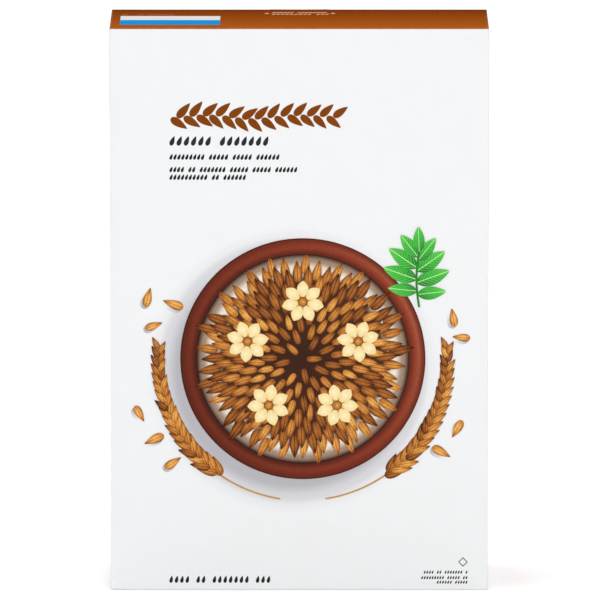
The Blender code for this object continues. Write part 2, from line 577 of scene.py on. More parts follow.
def joined(name, pieces, place, layer=0, bend=False):
    """Flat pieces made one piece and laid on a panel, as one ink that rides on the carton.

    With bend, print that spans more than one cell is first cut so that it follows the panel.
    """
    shape = bmesh.new()
    ink = next(material for material in pieces[0].data.materials if material)
    for piece in pieces:
        shape.from_mesh(piece.data)
        bpy.data.objects.remove(piece, do_unlink=True)
    for face in shape.faces:
        face.material_index = 0
    for axis in (0, 1) if bend else ():
        reach = [vert.co[axis] for vert in shape.verts]
        normal = Vector((axis == 0, axis == 1, 0))
        for cut_at in steps_between(min(reach), max(reach), BEND_CELL)[1:-1]:
            everything = shape.verts[:] + shape.edges[:] + shape.faces[:]
            bmesh.ops.bisect_plane(shape, geom=everything, plane_co=cut_at * normal, plane_no=normal)
    for vert in shape.verts:
        vert.co = place(vert.co.x, vert.co.y, vert.co.z + layer * FILM_STEP)
    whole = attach(finish_mesh(name, shape, ink), "root")


def new_film():
    """An empty shape whose points keep where they were in the drawing, in the attribute local."""
    shape = bmesh.new()
    return shape, shape.verts.layers.float_vector.new("local")


def slab(outline, ink=None, at=(0.0, 0.0), turn=0.0, size=1.0, base=0.0):
    """A film with a convex outline. Without an ink it is a pattern shape for Geometry Nodes."""
    shape, local = new_film()

    def point(x, y, z):
        u = at[0] + size * (x * math.cos(turn) - y * math.sin(turn))
        v = at[1] + size * (x * math.sin(turn) + y * math.cos(turn))
        vert = shape.verts.new((u, v, base + z))
        vert[local] = (x, y, 0.0)
        return vert

    middle = [sum(axis) / len(outline) for axis in zip(*outline)]
    low, high = ([point(x, y, z) for x, y in outline] for z in (0.0, FILM))
    low_middle, high_middle = (point(*middle, z) for z in (0.0, FILM))
    for i in range(len(outline)):
        j = (i + 1) % len(outline)
        shape.faces.new((low[i], low[j], high[j], high[i]))
        shape.faces.new((high[i], high[j], high_middle))
        shape.faces.new((low[j], low[i], low_middle))
    piece = finish_mesh("film", shape, ink)
    if not ink:
        pattern_shapes.append(piece)
    return piece


def band(centre, rims, ink, segments=120):
    """A flat round band. Each rim is (radius, share across), and local holds that share and the
    direction from the centre."""
    shape, local = new_film()
    turns = [2 * math.pi * i / segments for i in range(segments)]
    tops, bottoms = [], []
    for radius, share in rims:
        for z, kept in ((FILM, tops), (0.0, bottoms)):
            kept.append([])
            for turn in turns:
                place = (centre[0] + radius * math.cos(turn), centre[1] + radius * math.sin(turn), z)
                vert = shape.verts.new(place)
                vert[local] = (share, math.cos(turn), math.sin(turn))
                kept[-1].append(vert)
    for i in range(segments):
        j = (i + 1) % segments
        for inner, outer in zip(tops, tops[1:]):
            shape.faces.new((inner[i], outer[i], outer[j], inner[j]))
        for inner, outer in zip(bottoms, bottoms[1:]):
            shape.faces.new((inner[j], outer[j], outer[i], inner[i]))
        shape.faces.new((tops[-1][i], bottoms[-1][i], bottoms[-1][j], tops[-1][j]))
        if rims[0][0] > 0:
            shape.faces.new((bottoms[0][i], tops[0][i], tops[0][j], bottoms[0][j]))
    bmesh.ops.remove_doubles(shape, verts=shape.verts, dist=SAME_LEVEL)
    return finish_mesh("film", shape, ink)


def kernel_outline(width, points=9, blunt=0.62):
    """A grain from its foot at 0 to its pointed tip at 1, width across at its widest."""
    side = []
    for i in range(points + 1):
        x = (1 - math.cos(math.pi * i / points)) / 2
        half = width / 2 * math.sin(math.pi * x**blunt) ** 0.8 if 0 < i < points else 0.0
        side.append((x, -half))
    return side + [(x, -y) for x, y in side[-2:0:-1]]


SOCKET_KINDS = {
    "Stem": "NodeSocketObject", "Piece": "NodeSocketObject", "Ink": "NodeSocketMaterial",
    "Count": "NodeSocketInt", "Rows": "NodeSocketInt", "Seed": "NodeSocketInt",
}


def new_tree(name, inputs):
    """An empty Geometry Nodes tree with named inputs: its wiring, and its inputs' sockets."""
    tree = bpy.data.node_groups.new(name, "GeometryNodeTree")
    for direction in ("INPUT", "OUTPUT"):
        tree.interface.new_socket("Geometry", in_out=direction, socket_type="NodeSocketGeometry")
    for socket in inputs:
        kind = SOCKET_KINDS.get(socket, "NodeSocketFloat")
        tree.interface.new_socket(socket, in_out="INPUT", socket_type=kind)
    return Wiring(tree), tree.nodes.new("NodeGroupInput").outputs


def grown(tree, values):
    """The plain mesh that a Geometry Nodes tree makes with these values."""
    piece = placed("grown", bpy.data.meshes.new("grown"))
    modifier = piece.modifiers.new("grown", "NODES")
    modifier.node_group = tree.tree
    for item in tree.tree.interface.items_tree:
        if item.in_out == "INPUT" and item.name in values:
            modifier[item.identifier] = values[item.name]
    return applied(piece)


def vector(tree, x=0.0, y=0.0, z=0.0):
    return tree.node("ShaderNodeCombineXYZ", {"X": x, "Y": y, "Z": z}).outputs[0]


def drawn(tree, seed, low=0.0, high=1.0, **more):
    """A random number for each point. Its bounds are the sockets numbered 2 and 3."""
    return tree.node("FunctionNodeRandomValue", {2: low, 3: high, "Seed": seed, **more}).outputs[1]


def own_number(tree):
    return tree.node("GeometryNodeInputIndex").outputs["Index"]


def loose_points(tree, count, place):
    return tree.node("GeometryNodePoints", {"Count": count, "Position": place}).outputs[0]


def finish_tree(tree, given, points, turn, size):
    """The end of each tree: pieces on points, each with a tint of its own, made real and inked."""
    source = tree.node("GeometryNodeObjectInfo", {"Object": given["Piece"]}).outputs["Geometry"]
    instances = tree.node("GeometryNodeInstanceOnPoints", {
        "Points": points, "Instance": source, "Rotation": vector(tree, z=turn),
        "Scale": vector(tree, size, size, 1.0),
    }).outputs["Instances"]
    tinted = tree.node("GeometryNodeStoreNamedAttribute", {
        "Geometry": instances, "Name": "tint", "Value": drawn(tree, given["Seed"]),
    }, domain="INSTANCE").outputs["Geometry"]
    real = tree.node("GeometryNodeRealizeInstances", {"Geometry": tinted}).outputs["Geometry"]
    inked = tree.node("GeometryNodeSetMaterial", {"Geometry": real, "Material": given["Ink"]})
    tree.feed(tree.node("NodeGroupOutput"), {"Geometry": inked.outputs["Geometry"]})


# Grains along a stem: they stand off left and right by turns, and get smaller towards the tip
ear, ear_in = new_tree(
    "grains_along_stem", ("Stem", "Piece", "Count", "Spread", "Size", "Tip share", "Seed", "Ink")
)
stem = ear.node("GeometryNodeObjectInfo", {"Object": ear_in["Stem"]}).outputs["Geometry"]
stem_points = ear.node("GeometryNodeCurveToPoints", {"Curve": stem, "Count": ear_in["Count"]}).outputs
tangent = ear.axes(stem_points["Tangent"])
# The heading is kept on each point, because the tangent is gone once the curve is
headed = ear.node("GeometryNodeStoreNamedAttribute", {
    "Geometry": stem_points["Points"], "Name": "heading",
    "Value": ear.maths("ARCTAN2", tangent["Y"], tangent["X"]),
}).outputs["Geometry"]
heading = ear.node("GeometryNodeInputNamedAttribute", {"Name": "heading"}).outputs["Attribute"]
side = ear.minus(ear.times(ear.maths("MODULO", own_number(ear), 2.0), 2.0), 1.0)
lean = ear.plus(ear.times(side, ear_in["Spread"]), drawn(ear, ear_in["Seed"], -GRAIN_TOSS, GRAIN_TOSS))
along_ear = ear.maths("DIVIDE", own_number(ear), ear_in["Count"])
taper = ear.minus(1.0, ear.times(along_ear, ear.minus(1.0, ear_in["Tip share"])))
raised = ear.node("GeometryNodeSetPosition", {
    "Geometry": headed, "Offset": vector(ear, z=ear.times(own_number(ear), EAR_STACK)),
}).outputs["Geometry"]
finish_tree(ear, ear_in, raised, ear.plus(heading, lean), ear.times(ear_in["Size"], taper))

# Rows of small slanted grains run in groups as long as words
rows, rows_in = new_tree("grains_in_rows", (
    "Piece", "Rows", "Row length", "Pitch", "Step", "Size", "Lean", "Ragged", "Seed", "Ink",
))
per_row = rows.maths("FLOOR", rows.maths("DIVIDE", rows_in["Row length"], rows_in["Step"]))
row_number = rows.maths("FLOOR", rows.maths("DIVIDE", rows.plus(own_number(rows), 0.5), per_row))
place_in_row = rows.minus(own_number(rows), rows.times(row_number, per_row))
downward = rows.times(rows_in["Pitch"], -1.0)
row_place = vector(rows, rows.times(place_in_row, rows_in["Step"]), rows.times(row_number, downward))
row_points = loose_points(rows, rows.times(rows_in["Rows"], per_row), row_place)
gap_drawn = rows.maths("LESS_THAN", drawn(rows, rows_in["Seed"]), GAP_ODDS)
is_gap = rows.times(gap_drawn, rows.maths("GREATER_THAN", place_in_row, 1.5))
shortened = rows.times(drawn(rows, rows_in["Seed"], ID=row_number), rows_in["Ragged"])
row_end = rows.times(per_row, rows.minus(1.0, shortened))
left_out = rows.maths("MAXIMUM", is_gap, rows.maths("GREATER_THAN", place_in_row, row_end))
row_grains = rows.node(
    "GeometryNodeDeleteGeometry", {"Geometry": row_points, "Selection": left_out}, domain="POINT"
).outputs["Geometry"]
finish_tree(rows, rows_in, row_grains, rows_in["Lean"], rows_in["Size"])


def words(ink, at, length, height, step, seed, rows_down=1, pitch=0.0, lean=68, ragged=0.0, to_right=False):
    """Rows of small slanted grains in groups as long as words, from the upper left corner at.

    With to_right, at is the upper right corner and the row ends there.
    """
    lean = math.radians(lean)
    piece = grown(rows, {
        "Piece": word_grain, "Rows": rows_down, "Row length": length, "Pitch": pitch, "Step": step,
        "Size": height / math.sin(lean), "Lean": lean, "Ragged": ragged, "Seed": seed, "Ink": ink,
    })
    reach = [vert.co.x for vert in piece.data.vertices]
    start = at[0] - (max(reach) if to_right else min(reach))
    for vert in piece.data.vertices:
        vert.co.x += start
        vert.co.y += at[1] - height
    return piece


def grains_along(points, grain, ink, count, spread, size, tip_share, seed):
    """Grains that stand off a smooth stem through flat points."""
    curve = bpy.data.curves.new("stem", "CURVE")
    curve.dimensions = "3D"
    curve.resolution_u = 24
    knots = curve.splines.new("BEZIER").bezier_points
    knots.add(len(points) - 1)
    for knot, (x, y) in zip(knots, points):
        knot.co = (x, y, 0.0)
        knot.handle_left_type = knot.handle_right_type = "AUTO"
    stem_line = placed("stem", curve)
    pattern_shapes.append(stem_line)
    return grown(ear, {
        "Stem": stem_line, "Piece": grain, "Count": count, "Spread": spread, "Size": size,
        "Tip share": tip_share, "Seed": seed, "Ink": ink,
    })


charcoal_ink = printed("charcoal_ink", (0.014, 0.017, 0.020, 1), (0.022, 0.025, 0.029, 1), gloss=0.1)
garland_ink = printed("garland_ink", (0.195, 0.043, 0.0015, 1), (0.222, 0.052, 0.0020, 1), gloss=0.05)
garland_grain = slab(kernel_outline(0.42))
word_grain = slab(kernel_outline(0.46, points=5))

garland_line = [(0.0315, 0.2475), (0.0515, 0.2490), (0.0725, 0.2472), (0.0935, 0.2490), (0.1150, 0.2482)]
joined("front_garland", [
    grains_along(garland_line, garland_grain, garland_ink, 26, GARLAND_SPREAD, 0.0101, 0.9, seed=3),
], on_front)

open_diamond = band((0.1822, 0.0148), [(0.0019, 0.0), (0.0025, 1.0)], charcoal_ink, segments=4)
# Where each row starts, how long it is, how high its grains are and how far apart, and its seed
FRONT_ROWS = (
    ((0.0307, 0.2382), 0.0520, 0.0050, 0.0037, 12), ((0.0307, 0.2290), 0.0572, 0.0031, 0.00203, 8),
    ((0.0307, 0.2224), 0.0664, 0.0030, 0.00194, 6), ((0.0307, 0.2184), 0.0418, 0.0030, 0.00198, 18),
)
# The small rows end at the right under the diamond: the level, length and seed of each
SMALL_ROWS = ((0.0104, 0.0230, 6), (0.0075, 0.0252, 8), (0.0051, 0.0162, 12))
joined("front_words", [
    open_diamond,
    *[words(charcoal_ink, *row) for row in FRONT_ROWS],
    words(charcoal_ink, (0.0302, 0.0076), 0.0540, 0.0039, 0.0028, seed=6, lean=78),
    *[words(charcoal_ink, (0.1845, level), length, 0.0018, 0.00135, seed, to_right=True)
      for level, length, seed in SMALL_ROWS],
], on_front)


# The front print: medallion
# A round medallion of grain stands in the middle: a glazed terracotta ring with a soft shadow, a
# cream ground, a spiral of golden grains and five cream flowers. All of it is ink in thin layers.
MEDALLION = (0.0993, 0.1219)
RING_OUTER = 0.0632
RING_INNER = 0.0545
RING_LAP = 0.0005
SHADOW_SHIFT = (-0.0050, -0.0062)
SHADOW_REACH = 0.0125
SPIRAL_COUNT = 210
SPIRAL_REACH = 0.0455
SPIRAL_STACK = 5e-7
SPIRAL_TOSS = 0.16
GOLDEN_TURN = math.pi * (3 - math.sqrt(5))
GRAIN_WIDTH = 0.44
FLOWER_COUNT = 5
FLOWER_RING = 0.0300
PETAL_WIDTH = 0.62
PETAL_STACK = 6e-6


def even_rims(inner, outer, count):
    return [(inner + (outer - inner) * i / count, i / count) for i in range(count + 1)]


def ramp(tree, share, stops):
    """A colour ramp. Each stop is (place, colour)."""
    node = tree.node("ShaderNodeValToRGB", {"Fac": share})
    node.color_ramp.interpolation = "EASE"
    for i, (place, colour) in enumerate(stops):
        element = node.color_ramp.elements[i] if i < 2 else node.color_ramp.elements.new(place)
        element.position = place
        element.color = colour
    return node.outputs["Color"]


def scaled(tree, colour, share):
    return tree.node("ShaderNodeVectorMath", {0: colour, "Scale": share}, operation="SCALE").outputs[0]


def attribute(tree, name):
    return tree.node("ShaderNodeAttribute", attribute_name=name).outputs


def painted(name, paint, grain=0.10):
    """Ink whose colour is painted by paint, from where a point was in the drawing, a trace uneven.

    paint is a function of the tree and of the drawing's axes, or the stops of a ramp along X.
    """
    material, tree, shader, _, _ = varnished(name, 0.42, gloss=0.1, wear=0.0)
    drawing = tree.axes(attribute(tree, "local")["Vector"])
    colour = paint(tree, drawing) if callable(paint) else ramp(tree, drawing["X"], paint)
    uneven = tree.mapped(noise(tree, 900.0, 4.0), (0.3, 0.7), (1.0 - grain, 1.0 + grain))
    tree.feed(shader, {"Base Color": scaled(tree, colour, uneven)})
    return material


# The shadow falls to the lower left and fades into the white of the board
shadow_ink = painted("shadow_ink", (
    (0.0, (0.44, 0.43, 0.46, 1)), (1.0, COAT), (0.45, (0.625, 0.625, 0.65, 1)),
    (0.75, (0.770, 0.773, 0.790, 1)),
), grain=0.01)
shadow_centre = (MEDALLION[0] + SHADOW_SHIFT[0], MEDALLION[1] + SHADOW_SHIFT[1])
shadow_rims = [(RING_INNER, 0.0)] + even_rims(RING_OUTER - 0.004, RING_OUTER + SHADOW_REACH, 8)
joined("medallion_shadow", [band(shadow_centre, shadow_rims, shadow_ink)], on_front)


def glazed(tree, drawing):
    """A rounded rim, lit from the right and a little from above, with a soft glint along it."""
    body = ramp(tree, drawing["X"], (
        (0.0, (0.030, 0.005, 0.002, 1)), (1.0, (0.060, 0.009, 0.003, 1)),
        (0.12, (0.120, 0.017, 0.006, 1)), (0.45, (0.245, 0.036, 0.013, 1)),
        (0.85, (0.170, 0.023, 0.008, 1)),
    ))
    toward_light = tree.plus(tree.times(drawing["Z"], 0.35), tree.times(drawing["Y"], 0.90))
    off_glint = tree.maths("ABSOLUTE", tree.minus(drawing["X"], 0.64))
    across = tree.maths("SUBTRACT", 1.0, tree.times(off_glint, 5.0), clamp=True)
    glint = tree.times(across, tree.maths("POWER", tree.maths("MAXIMUM", toward_light, 0.0), 2.5))
    lit = scaled(tree, body, tree.mapped(toward_light, (-1.0, 1.0), (0.58, 1.12)))
    return mix_colours(tree, tree.times(glint, 0.13), lit, (0.90, 0.42, 0.26, 1))


ring_ink = painted("terracotta_ink", glazed)
joined("medallion_ring", [
    band(MEDALLION, even_rims(RING_INNER, RING_OUTER, 10), ring_ink),
], on_front, layer=4)

# The ground is cream in its outer part, and in shade under the grains and the ring
ground_ink = painted("ground_ink", (
    (0.0, (0.040, 0.011, 0.004, 1)), (1.0, (0.030, 0.009, 0.005, 1)), (0.74, (0.066, 0.021, 0.007, 1)),
    (0.86, (0.80, 0.73, 0.62, 1)), (0.94, (0.32, 0.22, 0.155, 1)),
))
joined("medallion_ground", [
    band(MEDALLION, even_rims(0.0, RING_INNER + RING_LAP, 14), ground_ink),
], on_front, layer=2)


def husked(tree, drawing):
    """A grain: darker at its rim and foot, creased down its middle, each with its own tint."""
    off_middle = tree.times(tree.maths("ABSOLUTE", drawing["Y"]), 2 / GRAIN_WIDTH)
    from_middle = tree.minus(drawing["X"], 0.42)
    rim = tree.plus(tree.times(off_middle, off_middle), tree.times(tree.times(from_middle, from_middle), 2.6))
    crease = tree.mapped(off_middle, (0.02, 0.16), (0.5, 0.0), smooth=True)
    flank = tree.mapped(drawing["Y"], (-0.2, 0.2), (-0.12, 0.12))
    tint = tree.times(attribute(tree, "tint")["Fac"], 0.80)
    tone = tree.plus(tree.plus(rim, crease), tree.plus(flank, tint))
    return ramp(tree, tree.times(tone, 0.62), (
        (0.0, (0.82, 0.46, 0.125, 1)), (1.0, (0.028, 0.006, 0.002, 1)), (0.22, (0.60, 0.250, 0.045, 1)),
        (0.48, (0.340, 0.108, 0.017, 1)), (0.74, (0.135, 0.034, 0.006, 1)),
    ))


grain_ink = painted("grain_ink", husked, grain=0.20)
grain = slab(kernel_outline(GRAIN_WIDTH))


def around(tree, radius, turn, height):
    """A place at a radius and a turn from the middle."""
    x, y = (tree.times(radius, tree.maths(part, turn)) for part in ("COSINE", "SINE"))
    return vector(tree, x, y, height)


def moved(piece, at, turn=0.0):
    """Flat print, turned and then shifted within its panel."""
    for vert in piece.data.vertices:
        x, y = vert.co.x, vert.co.y
        vert.co.x = at[0] + x * math.cos(turn) - y * math.sin(turn)
        vert.co.y = at[1] + x * math.sin(turn) + y * math.cos(turn)
    return piece


# The spiral: each grain stands a golden turn on from the one before, and the outer ones are larger
spiral, spiral_in = new_tree(
    "spiral_of_grains", ("Piece", "Count", "Reach", "Smallest", "Largest", "Seed", "Ink")
)
outward = spiral.maths("SQRT", spiral.maths(
    "DIVIDE", spiral.plus(own_number(spiral), 0.4), spiral_in["Count"],
))
spiral_turn = spiral.times(own_number(spiral), GOLDEN_TURN)
spiral_height = spiral.times(spiral.minus(spiral_in["Count"], own_number(spiral)), SPIRAL_STACK)
spiral_place = around(spiral, spiral.times(outward, spiral_in["Reach"]), spiral_turn, spiral_height)
wobble = drawn(spiral, spiral_in["Seed"], -SPIRAL_TOSS, SPIRAL_TOSS)
even_size = spiral.mapped(outward, (0.0, 1.0), (spiral_in["Smallest"], spiral_in["Largest"]))
finish_tree(
    spiral, spiral_in, loose_points(spiral, spiral_in["Count"], spiral_place),
    spiral.plus(spiral_turn, wobble), spiral.times(even_size, spiral.plus(1.0, spiral.times(wobble, 0.8))),
)
joined("medallion_grains", [
    moved(grown(spiral, {
        "Piece": grain, "Count": SPIRAL_COUNT, "Reach": SPIRAL_REACH, "Smallest": 0.0085,
        "Largest": 0.0120, "Seed": 11, "Ink": grain_ink,
    }), MEDALLION),
], on_front, layer=8)

# Flowers: petals in a ring round a golden eye
wreath, wreath_in = new_tree(
    "pieces_in_ring", ("Piece", "Count", "Radius", "Size", "Lift", "Seed", "Ink")
)
wreath_turn = wreath.maths("DIVIDE", wreath.times(own_number(wreath), 2 * math.pi), wreath_in["Count"])
wreath_height = wreath.times(own_number(wreath), wreath_in["Lift"])
wreath_place = around(wreath, wreath_in["Radius"], wreath_turn, wreath_height)
wreath_points = loose_points(wreath, wreath_in["Count"], wreath_place)
finish_tree(wreath, wreath_in, wreath_points, wreath_turn, wreath_in["Size"])


def petalled(tree, drawing):
    """A petal: pale in its middle, and golden at its rim and foot."""
    off_middle = tree.times(tree.maths("ABSOLUTE", drawing["Y"]), 2 / PETAL_WIDTH)
    from_middle = tree.maths("ABSOLUTE", tree.minus(drawing["X"], 0.58))
    tone = tree.plus(tree.times(off_middle, 0.35), tree.times(from_middle, 1.15))
    return ramp(tree, tone, (
        (0.0, (0.90, 0.79, 0.48, 1)), (1.0, (0.45, 0.22, 0.05, 1)), (0.42, (0.86, 0.68, 0.33, 1)),
        (0.68, (0.72, 0.47, 0.16, 1)),
    ))


petal_ink = painted("petal_ink", petalled, grain=0.05)
petal = slab(kernel_outline(PETAL_WIDTH, points=10, blunt=1.3))
eye_ink = painted("eye_ink", (
    (0.0, (0.70, 0.33, 0.05, 1)), (1.0, (0.16, 0.045, 0.008, 1)), (0.6, (0.45, 0.17, 0.025, 1)),
), grain=0.3)


def flower(petals, radius, size, seed):
    return grown(wreath, {
        "Piece": petal, "Count": petals, "Radius": radius, "Size": size, "Lift": PETAL_STACK,
        "Seed": seed, "Ink": petal_ink,
    })


flowers, eyes = [], []
for i in range(FLOWER_COUNT):
    turn = math.pi / 2 + 2 * math.pi * i / FLOWER_COUNT
    centre = (MEDALLION[0] + FLOWER_RING * math.cos(turn), MEDALLION[1] + FLOWER_RING * math.sin(turn))
    flowers.append(moved(flower(7, 0.0012, 0.0098, seed=i), centre, turn))
    eyes.append(band(centre, even_rims(0.0, 0.0026, 3), eye_ink, segments=20))
joined("medallion_flowers", flowers, on_front, layer=15)
joined("medallion_eyes", eyes, on_front, layer=18)


# The front print: ears of grain and leaves
# Two ears of grain curve round the medallion from below, and a green sprig stands above it on the
# right. Loose grains lie beside the ears.
EAR_RADIUS = 0.0745
EAR_GRAIN = 0.0112
EAR_START = 0.30
STALK_WIDTH = 0.0009
LOOSE_SHADOW_SHIFT = (-0.0009, -0.0010)
LEAF_WIDTH = 0.46
SPRIG_FOOT, SPRIG_HEIGHT, SPRIG_BEND = (0.1592, 0.1490), 0.0290, 0.0014
SPRIG_WIDTH = 0.0011
# How far up the stalk each pair stands, how far it leans off in degrees, and its length
LEAF_PAIRS = ((0.26, 84, 0.0150), (0.47, 70, 0.0182), (0.68, 55, 0.0178), (0.87, 38, 0.0150))
PAIR_OFFSET = 0.03
SPRIG_TIP_LEAF = (1.0, 92, 0.0132)
# Each loose grain has its middle, which way its tip points in degrees, and its length
LOOSE_GRAINS = (
    ((0.0195, 0.1540), 75, 0.0105), ((0.0325, 0.1505), 160, 0.0112), ((0.0225, 0.1392), 20, 0.0095),
    ((0.0150, 0.0930), 300, 0.0096), ((0.0225, 0.0795), 205, 0.0112), ((0.0322, 0.0672), 35, 0.0102),
    ((0.1768, 0.1435), 100, 0.0098), ((0.1810, 0.1330), 175, 0.0094), ((0.1790, 0.0850), 240, 0.0104),
    ((0.1708, 0.0730), 330, 0.0108),
)


def round_points(centre, radius, start, end, count):
    """Flat points along an arc, in degrees from the right, for a stem."""
    turns = [math.radians(start + (end - start) * i / (count - 1)) for i in range(count)]
    return [(centre[0] + radius * math.cos(turn), centre[1] + radius * math.sin(turn)) for turn in turns]


def strip(pairs, ink):
    """A flat film between two edges, given as pairs of points that face each other across it."""
    shape, local = new_film()
    rows = []
    for i, (near, far) in enumerate(pairs):
        share = i / (len(pairs) - 1)
        rows.append([])
        for place, across, z in ((near, -1, 0.0), (far, 1, 0.0), (far, 1, FILM), (near, -1, FILM)):
            vert = shape.verts.new((*place, z))
            vert[local] = (share, across, 0.0)
            rows[-1].append(vert)
    for here, there in zip(rows, rows[1:]):
        for i in range(4):
            j = (i + 1) % 4
            shape.faces.new((here[i], there[i], there[j], here[j]))
    shape.faces.new(rows[0])
    shape.faces.new(rows[-1][::-1])
    bmesh.ops.recalc_face_normals(shape, faces=shape.faces)
    return finish_mesh("film", shape, ink)


def ribbon(points, width, ink):
    """A flat line of even width through points, as a stem or a stalk."""
    pairs = []
    for i, (x, y) in enumerate(points):
        before, after = points[max(i - 1, 0)], points[min(i + 1, len(points) - 1)]
        along = Vector((after[0] - before[0], after[1] - before[1])).normalized()
        pairs.append([(x - along.y * half, y + along.x * half) for half in (-width / 2, width / 2)])
    return strip(pairs, ink)


stalk_ink = painted("stalk_ink", (
    (0.0, (0.52, 0.30, 0.085, 1)), (1.0, (0.30, 0.12, 0.025, 1)),
), grain=0.15)
ears, stalks = [], []
for side, start, end in ((-1, 261, 176), (1, 279, 364)):
    stalk = round_points(MEDALLION, EAR_RADIUS, start, end, 40)
    stalks.append(ribbon(stalk, STALK_WIDTH, stalk_ink))
    ear_line = round_points(MEDALLION, EAR_RADIUS, start + (end - start) * EAR_START, end, 7)
    ears.append(grains_along(ear_line, grain, grain_ink, 34, 0.48, EAR_GRAIN, 0.62, seed=20 + side))
joined("front_stalks", stalks, on_front, layer=6)
joined("front_ears", ears, on_front, layer=8)

# Loose grains, each with a small shadow of its own
loose, loose_shadows = [], []
for middle, lean, size in LOOSE_GRAINS:
    turn = math.radians(lean)
    at = (middle[0] - size / 2 * math.cos(turn), middle[1] - size / 2 * math.sin(turn))
    loose.append(slab(kernel_outline(GRAIN_WIDTH), grain_ink, at, turn, size))
    shifted = (at[0] + LOOSE_SHADOW_SHIFT[0], at[1] + LOOSE_SHADOW_SHIFT[1])
    loose_shadows.append(slab(kernel_outline(0.5), shadow_ink, shifted, turn, size * 1.02))
joined("front_loose_grains", loose, on_front, layer=5)
joined("front_loose_shadows", loose_shadows, on_front, layer=1)


def veined(tree, drawing):
    """A leaf: lighter towards its tip, with a pale rib and pale side veins."""
    off_rib = tree.maths("ABSOLUTE", drawing["Y"])
    phase = tree.maths("FRACT", tree.minus(tree.times(drawing["X"], 9.0), tree.times(off_rib, 11.0)))
    side_vein = tree.maths("ABSOLUTE", tree.minus(phase, 0.5))
    side_line = tree.mapped(side_vein, (0.0, 0.12), (0.55, 0.0), smooth=True)
    mid_line = tree.mapped(off_rib, (0.006, 0.020), (1.0, 0.0), smooth=True)
    body = ramp(tree, tree.plus(drawing["X"], tree.times(drawing["Y"], 0.9)), (
        (0.0, (0.012, 0.215, 0.020, 1)), (1.0, (0.075, 0.52, 0.060, 1)), (0.5, (0.030, 0.40, 0.034, 1)),
    ))
    return mix_colours(tree, tree.maths("MAXIMUM", side_line, mid_line), body, (0.42, 0.80, 0.30, 1))


def sprig_point(share):
    """A point of the sprig's stalk, which bends a little to the left."""
    bend = SPRIG_BEND * math.sin(math.pi * share)
    return (SPRIG_FOOT[0] - bend, SPRIG_FOOT[1] + SPRIG_HEIGHT * share)


# The sprig: leaves with pale veins stand off its stalk in pairs, and one ends it
leaf_ink = painted("leaf_ink", veined, grain=0.08)
leaf_places = [
    (share + PAIR_OFFSET * side, 90 + side * lean, size)
    for share, lean, size in LEAF_PAIRS for side in (-1, 1)
]
joined("front_sprig", [
    slab(kernel_outline(LEAF_WIDTH, points=16, blunt=0.8), leaf_ink, sprig_point(share),
         math.radians(lean), size, base=i * FILM_STEP / 2)
    for i, (share, lean, size) in enumerate([*leaf_places, SPRIG_TIP_LEAF])
], on_front, layer=12)
stem_green = printed("stem_green", (0.014, 0.190, 0.018, 1), (0.020, 0.230, 0.022, 1), gloss=0.1)
joined("sprig_stalk", [
    ribbon([sprig_point(i / 12) for i in range(13)], SPRIG_WIDTH, stem_green),
], on_front, layer=17)


# The top print
# The cover carries a blue and a white stripe at its left end, and rows of pale grains behind them and
# in front of the tab, between two diamonds. It is printed flat on the outer flap before folding.
STRIPE_LEFT, STRIPE_RIGHT = 0.0052, 0.0567
STRIPE_FRONT, STRIPE_MIDDLE, STRIPE_BACK = 0.0124, 0.0284, 0.0419
DIAMOND = [(-0.0014, 0.0), (0.0, -0.0026), (0.0014, 0.0), (0.0, 0.0026)]

blue_ink = printed("blue_ink", (0.0110, 0.228, 0.550, 1), (0.0130, 0.240, 0.575, 1), gloss=0.0)
stripe_white = printed("stripe_white", (0.640, 0.596, 0.598, 1), (0.655, 0.610, 0.612, 1), gloss=0.0)
peach_ink = printed("peach_ink", (0.52, 0.29, 0.175, 1), (0.56, 0.32, 0.20, 1), gloss=0.0)
dull_peach = printed("dull_peach_ink", (0.300, 0.110, 0.042, 1), (0.330, 0.124, 0.050, 1), gloss=0.0)


def bar(ink, left, low, right, high):
    """A rectangle of ink."""
    return slab([(left, low), (right, low), (right, high), (left, high)], ink)


joined("top_blue_stripe", [
    bar(blue_ink, STRIPE_LEFT, STRIPE_FRONT, STRIPE_RIGHT, STRIPE_MIDDLE),
], on_top, bend=True)
joined("top_white_stripe", [
    bar(stripe_white, STRIPE_LEFT, STRIPE_MIDDLE, STRIPE_RIGHT, STRIPE_BACK),
], on_top, bend=True)
joined("top_marks", [
    *[slab(DIAMOND, peach_ink, at=(across, 0.0514)) for across in (0.0807, 0.1149)],
    words(peach_ink, (0.0831, 0.0509), 0.0300, 0.0038, 0.0023, seed=8),
    words(peach_ink, (0.0831, 0.0564), 0.0300, 0.0036, 0.0019, seed=12),
], on_top)
joined("cover_marks", [words(dull_peach, (0.0058, 0.0482), 0.0277, 0.0026, 0.0016, seed=31)], on_top)


# The left side's print
# The narrow side is white under a brown band with a pale ear, which runs on from the back. It has a
# ruled table, as packs of food do, with rows of small grains in it, and the printer's colour dots at
# its foot.
TABLE_LEFT, TABLE_LOW, TABLE_RIGHT, TABLE_HIGH = 0.0080, 0.1130, 0.0620, 0.2430
TABLE_LINE, TABLE_RULE, TABLE_HEAVY = 0.0005, 0.00025, 0.0012
TABLE_MARGIN = 0.0022
TABLE_TITLE = 0.0200
TABLE_ROWS = 17
HEAVY_ROWS = (4, 11)
NAME_SHARES = (0.55, 0.42, 0.62, 0.36, 0.50)
NAME_SPACE, NAME_INDENT, NAME_DROP = 0.0496, 0.0035, 0.0018
DOT_RADIUS, DOT_PITCH, DOT_LEVEL = 0.0022, 0.0062, 0.0080


def bars(ink, left, right, levels):
    """Level bars between left and right, each given as (its lower side, its thickness)."""
    return [bar(ink, left, low, right, low + thick) for low, thick in levels]


def round_outline(radius, points):
    return [
        (radius * math.cos(2 * math.pi * i / points), radius * math.sin(2 * math.pi * i / points))
        for i in range(points)
    ]


